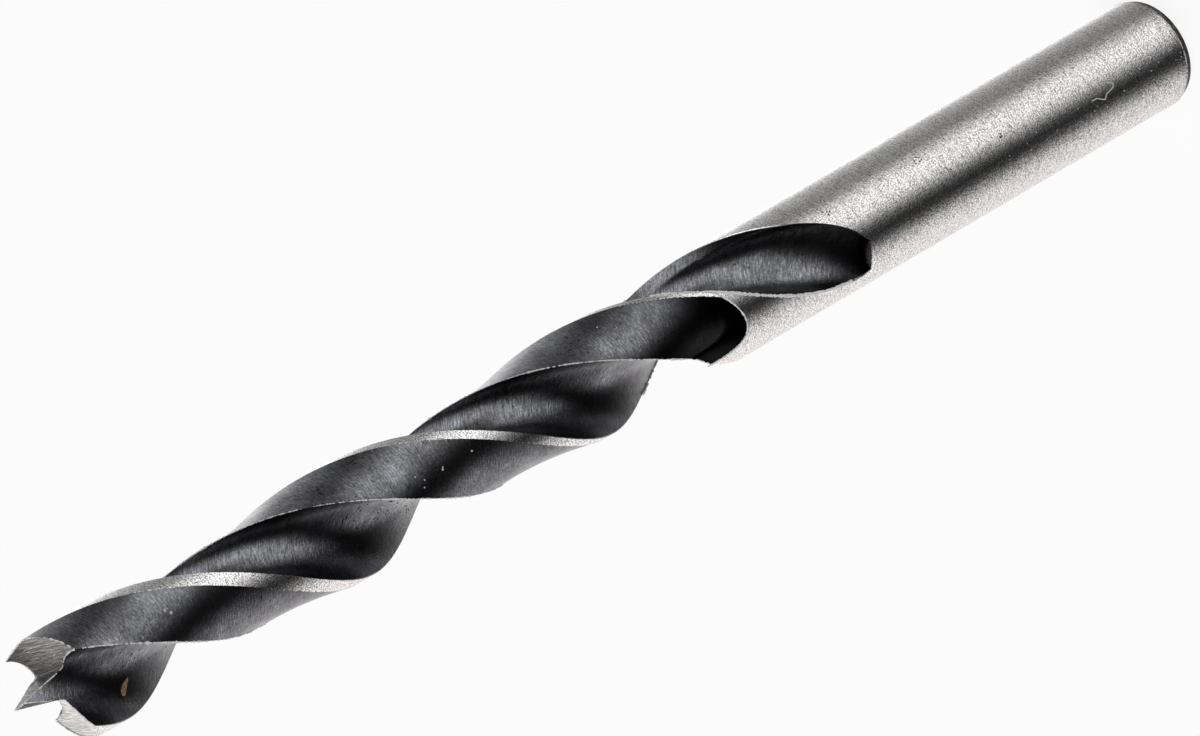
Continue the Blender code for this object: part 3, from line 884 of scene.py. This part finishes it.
# Dust and a wood chip.
# A sliver of tan wood in the flute, a pale hair on the shank, bright grit, and black scale round
# pits. Each lies where the photo shows it, so their places are its pixels; radii are millimetres.
CHIP_OUTLINE = [
    (126.9, 677.0),
    (127.2, 681.2),
    (125.8, 687.2),
    (124.4, 695.8),
    (121.8, 696.2),
    (120.6, 691.5),
    (121.2, 686.5),
    (123.6, 682.0),
]
HAIR_LINE = [
    (1106.8, 82.7),
    (1112.9, 83.4),
    (1113.4, 86.0),
    (1112.0, 88.5),
    (1106.4, 94.1),
    (1105.3, 99.5),
    (1100.5, 99.2),
    (1096.8, 98.3),
    (1089.9, 102.6),
]
GRIT = [
    (164.5, 610.5, 0.115),
    (170.7, 612.8, 0.121),
    (167.0, 608.6, 0.054),
    (415.0, 477.0, 0.074),
    (424.6, 480.0, 0.068),
    (424.5, 487.6, 0.074),
    (391.5, 480.0, 0.068),
    (442.7, 469.5, 0.095),
    (442.8, 467.3, 0.074),
    (471.8, 450.9, 0.081),
    (84.0, 718.0, 0.095),
    (597.0, 327.5, 0.081),
    (595.5, 342.5, 0.068),
    (601.5, 342.0, 0.054),
    (616.5, 327.5, 0.061),
]
# Middle of each patch, how far it spreads across and down, and how many flakes it has.
PIT_PATCHES = [
    (398.0, 509.0, 9.0, 5.0, 26),
    (383.0, 517.0, 8.0, 6.0, 16),
    (362.0, 505.0, 10.0, 3.0, 10),
    (340.0, 521.0, 8.0, 3.0, 8),
    (826.0, 211.5, 7.0, 2.0, 7),
    (262.0, 600.0, 9.0, 5.0, 8),
    (140.0, 657.0, 12.0, 7.0, 12),
    (1004.0, 134.0, 2.5, 3.0, 7),
    (918.0, 160.5, 5.0, 2.5, 7),
    (946.0, 170.0, 4.0, 2.0, 6),
]
CHIP_LIFTS = (0.01, 0.07)
HAIR_RADIUS = 0.03
HAIR_LIFT = 0.02
HAIR_SIDES = 6
SHANK_SPECKS = 70
SPECK_TURNS = (-39.5, 3.0)
SPECK_SPAN = (0.8, 22.0)
SPECK_CROWDING = 1.6
SPECK_RADII = (0.028, 0.055)
FLAKE_RADII = (0.03, 0.09)
GRIT_FLATNESS = 0.6
FLAKE_FLATNESS = 0.25
shank_dust = np.random.default_rng(11)
bar_tree = BVHTree.FromPolygons(
    [v.co for v in ground.vertices], [tuple(face.vertices) for face in ground.polygons]
)


def on_bit(x, y):
    """The point and the surface's direction that a pixel of the photo looks at."""
    across, down = (x - PHOTO_WIDTH / 2) / FOCAL_PIXELS, (y - PHOTO_HEIGHT / 2) / FOCAL_PIXELS
    way = (right_way * across + down_way * down + into_way).normalized()
    return bar_tree.ray_cast(place_of_camera * MM, way)[:2]


def small_piece(name, verts, faces, finish):
    """A piece of dirt that rides on the bit, from points in metres."""
    mesh = bpy.data.meshes.new(name)
    mesh.from_pydata([[c * MM for c in kept_in(Vector(v) / MM)] for v in verts], [], faces)
    mesh.shade_smooth()
    mesh.materials.append(finish)
    made = bpy.data.objects.new(name, mesh)
    bpy.context.scene.collection.objects.link(made)
    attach(made, "root")
    return made


def grains(name, spots, finish, flatness):
    """Rough little lumps, each given by its point, direction and radius in millimetres."""
    verts, faces = [], []
    lump = bmesh.new()
    bmesh.ops.create_icosphere(lump, subdivisions=1, radius=1.0)
    shape = [v.co.copy() for v in lump.verts]
    corners = [tuple(v.index for v in face.verts) for face in lump.faces]
    lump.free()
    for at, up, radius in spots:
        if at is None:
            continue
        start = len(verts)
        tilt = up.to_track_quat("Z", "X")
        for corner in shape:
            rough = 1.0 + 0.35 * wander.noise(corner * 1.7 + at / MM)
            bent = Vector((corner.x, corner.y, corner.z * flatness)) * radius * rough * MM
            verts.append(at + tilt @ bent)
        faces += [tuple(start + i for i in corner) for corner in corners]
    return small_piece(name, verts, faces, finish)


# A raw softwood sliver is matt, with fibres along its length.
wood_tones = [(0.35, "#5f4433"), (0.5, "#9a7658"), (0.65, "#c8a887")]
tan_wood = dull_finish("softwood_sliver_raw", (0.08, 0.08, 0.5), wood_tones, 0.8)
chip_verts = []
for lift in CHIP_LIFTS:
    for x, y in CHIP_OUTLINE:
        at, up = on_bit(x, y)
        chip_verts.append(at + up * lift * MM)
sides = len(CHIP_OUTLINE)
chip_faces = [tuple(range(sides))[::-1], tuple(range(sides, 2 * sides))]
chip_faces += [(k, (k + 1) % sides, sides + (k + 1) % sides, sides + k) for k in range(sides)]
chip = small_piece("wood_chip", chip_verts, chip_faces, tan_wood)
chip.data.shade_flat()

# The hair is a textile fibre, pale and a little glossy.
pale_fibre = dull_finish("dust_fibre_pale", (0.2,) * 3, [(0.3, "#d9d5ce"), (0.7, "#fbf9f5")], 0.6)
hair_points = []
for (ax, ay), (bx, by) in zip(HAIR_LINE, HAIR_LINE[1:]):
    for share in (0.0, 0.33, 0.67):
        at, up = on_bit(ax + (bx - ax) * share, ay + (by - ay) * share)
        hair_points.append(at + up * HAIR_LIFT * MM)
hair_verts, hair_faces = [], []
for k, at in enumerate(hair_points):
    ahead = hair_points[min(k + 1, len(hair_points) - 1)] - hair_points[max(k - 1, 0)]
    out = Vector((at.x, at.y, 0.0)).normalized()
    across = ahead.cross(out).normalized()
    for side in range(HAIR_SIDES):
        turn = 2 * math.pi * side / HAIR_SIDES
        spoke = math.cos(turn) * across + math.sin(turn) * out
        hair_verts.append(at + spoke * HAIR_RADIUS * MM)
    if k:
        start = HAIR_SIDES * (k - 1)
        for side in range(HAIR_SIDES):
            a, b = start + side, start + (side + 1) % HAIR_SIDES
            hair_faces.append((a, b, b + HAIR_SIDES, a + HAIR_SIDES))
small_piece("dust_fibre", hair_verts, hair_faces, pale_fibre)

# Mineral grit, pale and matt: the larger grains where the photo has them, fine ones by chance.
pale_grit = dull_finish("dust_grit_pale", (0.05,) * 3, [(0.3, "#cfccc7"), (0.7, "#f6f5f2")], 0.55)
spots = [on_bit(x, y) + (radius,) for x, y, radius in GRIT]
for _ in range(SHANK_SPECKS):
    turn = math.radians(shank_dust.uniform(*SPECK_TURNS))
    z = SPECK_SPAN[0] + SPECK_SPAN[1] * shank_dust.uniform() ** SPECK_CROWDING
    out = Vector((math.cos(turn), math.sin(turn), 0.0))
    at = (out * BIT_RADIUS + Vector((0.0, 0.0, z))) * MM
    spots.append((at, out, shank_dust.uniform(*SPECK_RADII)))
grains("grit", spots, pale_grit, GRIT_FLATNESS)

# Flakes of forged scale, black and matt, round the pits.
flake_tones = [(0.3, "#070708"), (0.7, "#1b1b1d")]
black_scale = dull_finish("scale_flakes_black", (0.1,) * 3, flake_tones, 0.7)
spots = []
for x, y, wide, high, count in PIT_PATCHES:
    for _ in range(count):
        at, up = on_bit(shank_dust.normal(x, wide), shank_dust.normal(y, high))
        spots.append((at, up, shank_dust.uniform(*FLAKE_RADII)))
grains("scale_flakes", spots, black_scale, FLAKE_FLATNESS)


# The studio.
# A white table under a pale room. Round steel shows its whole surroundings, so the room's tones
# follow the bands that the shank shows in the photo: white, then a dark side, then white again.
TABLE_WHITENESS = 0.9
floor_mesh = bpy.data.meshes.new("white_table")
bm = bmesh.new()
bmesh.ops.create_grid(bm, x_segments=8, y_segments=8, size=3.0)
bm.to_mesh(floor_mesh)
bm.free()
floor = bpy.data.objects.new("white_table", floor_mesh)
bpy.context.scene.collection.objects.link(floor)
table_white = bpy.data.materials.new("painted_table_matt_white")
table_white.use_nodes = True
tree = table_white.node_tree
tree.nodes.clear()
matt = node(tree, "ShaderNodeBsdfDiffuse", {"Color": linear("#fafaf9")})
white = node(tree, "ShaderNodeEmission", {"Strength": 1.0})
rays = node(tree, "ShaderNodeLightPath").node.outputs
shown = rays["Is Camera Ray"]
for ray in ("Is Transmission Ray", "Is Glossy Ray"):
    shown = node(tree, "ShaderNodeMath", {0: shown, 1: rays[ray]}, operation="MAXIMUM")
shown = node(tree, "ShaderNodeMath", {0: shown, 1: TABLE_WHITENESS}, operation="MULTIPLY")
table = node(tree, "ShaderNodeMixShader", {0: shown, 1: matt, 2: white})
node(tree, "ShaderNodeOutputMaterial", {"Surface": table})
floor_mesh.materials.append(table_white)
# The steel mirrors the room's bands, which the table would cover.
floor.visible_glossy = False

# Light level of the room at these compass angles, in degrees from +X towards +Y, as five rings
# from straight below to straight above. Each gives way to the next between two slopes, from -1
# for straight down to 1 for straight up.
ROOM_SCALE = 2.2
ROOM_ROUND = [
    (-180, 1.02),
    (-150, 0.95),
    (-118, 1.18),
    (-98, 1.40),
    (-84, 1.35),
    (-76, 1.15),
    (-68, 0.68),
    (-60, 0.17),
    (-50, 0.03),
    (-34, 0.015),
    (-26, 0.03),
    (-14, 0.32),
    (-4, 1.10),
    (6, 1.60),
    (16, 2.00),
    (36, 2.10),
    (48, 1.75),
    (60, 0.76),
    (70, 0.36),
    (95, 0.37),
    (118, 0.47),
    (134, 0.62),
    (146, 1.45),
    (160, 1.45),
    (180, 1.02),
]
ROOM_BELOW = [
    (-180, 0.75),
    (-150, 0.78),
    (-130, 0.45),
    (-108, 0.18),
    (-85, 0.03),
    (-60, 0.01),
    (55, 0.01),
    (110, 0.15),
    (150, 0.5),
    (180, 0.75),
]
ROOM_MIDDLE = [
    (-180, 1.2),
    (-135, 1.0),
    (-105, 0.75),
    (-90, 0.4),
    (-75, 0.10),
    (-60, 0.02),
    (-36, 0.02),
    (-22, 0.05),
    (-10, 0.30),
    (2, 1.00),
    (14, 1.40),
    (30, 0.80),
    (45, 0.18),
    (60, 0.12),
    (80, 0.20),
    (105, 0.75),
    (130, 1.45),
    (180, 1.4),
]
ROOM_LEVEL = [
    (-180, 1.5),
    (-150, 1.2),
    (-132, 0.35),
    (-110, 0.15),
    (-80, 0.08),
    (-62, 0.02),
    (-42, 0.02),
    (-28, 0.05),
    (-16, 0.28),
    (-4, 1.1),
    (15, 1.5),
    (32, 1.5),
    (48, 0.6),
    (62, 0.20),
    (90, 0.2),
    (125, 0.8),
    (150, 1.4),
    (180, 1.5),
]
ROOM_ABOVE = [(-180, 0.12), (180, 0.12)]
ROUND_STARTS = (-0.72, -0.672)
MIDDLE_STARTS = (-0.60, -0.50)
LEVEL_STARTS = (-0.42, -0.28)
ABOVE_STARTS = (0.35, 0.70)
# The side that the shank's lower band mirrors is a little warm.
WARM_SIDE = (-170, -80)
WARM_SIDE_TINT = (1.01, 0.975, 0.968)

world = bpy.data.worlds.new("studio_room")
bpy.context.scene.world = world
world.use_nodes = True
tree = world.node_tree
tree.nodes.clear()
way = node(tree, "ShaderNodeTexCoord", output="Generated")
turn = node(tree, "ShaderNodeTexGradient", {"Vector": way}, "Fac", gradient_type="RADIAL")
height = node(tree, "ShaderNodeSeparateXYZ", {"Vector": way}, "Z")
rings = []
for ring_levels in (ROOM_BELOW, ROOM_ROUND, ROOM_MIDDLE, ROOM_LEVEL, ROOM_ABOVE):
    tones = []
    for angle, level in ring_levels:
        tint = WARM_SIDE_TINT if WARM_SIDE[0] < angle < WARM_SIDE[1] else (1.0, 1.0, 1.0)
        tone = tuple(level / ROOM_SCALE * share for share in tint) + (1.0,)
        tones.append((angle / 360 + 0.5, tone))
    rings.append(node(tree, "ShaderNodeValToRGB", {"Fac": turn}, stops=tones))
room = rings[0]
starts = (ROUND_STARTS, MIDDLE_STARTS, LEVEL_STARTS, ABOVE_STARTS)
for (begins, full), upper in zip(starts, rings[1:]):
    limits = {"Value": height, "From Min": begins, "From Max": full}
    share = node(tree, "ShaderNodeMapRange", limits, interpolation_type="SMOOTHSTEP")
    room = node(tree, "ShaderNodeMix", {0: share, 6: room, 7: upper}, 2, data_type="RGBA")

# The camera sees plain white behind the bit, and the room lights it.
room_light = node(tree, "ShaderNodeBackground", {"Color": room, "Strength": ROOM_SCALE})
white_back = {"Color": linear("#ffffff"), "Strength": 1.0}
plain_white = node(tree, "ShaderNodeBackground", white_back)
seen = node(tree, "ShaderNodeLightPath", output="Is Camera Ray")
both = node(tree, "ShaderNodeMixShader", {0: seen, 1: room_light, 2: plain_white})
node(tree, "ShaderNodeOutputWorld", {"Surface": both})

# One large soft lamp lights the table and the worn edges.
LAMP_PLACE = (-0.25, -0.5, 0.9)
LAMP_AIM = Vector((0.0, 0.0, 0.05))
LAMP_SIZE = 0.6
LAMP_POWER = 6.0
lamp_data = bpy.data.lights.new("window_light", "AREA")
lamp_data.shape = "SQUARE"
lamp_data.size = LAMP_SIZE
lamp_data.energy = LAMP_POWER
lamp = bpy.data.objects.new("window_light", lamp_data)
lamp.location = LAMP_PLACE
lamp.rotation_mode = "QUATERNION"
lamp.rotation_quaternion = (LAMP_AIM - lamp.location).to_track_quat("-Z", "Y")
bpy.context.scene.collection.objects.link(lamp)

bpy.context.scene.view_settings.view_transform = "Standard"
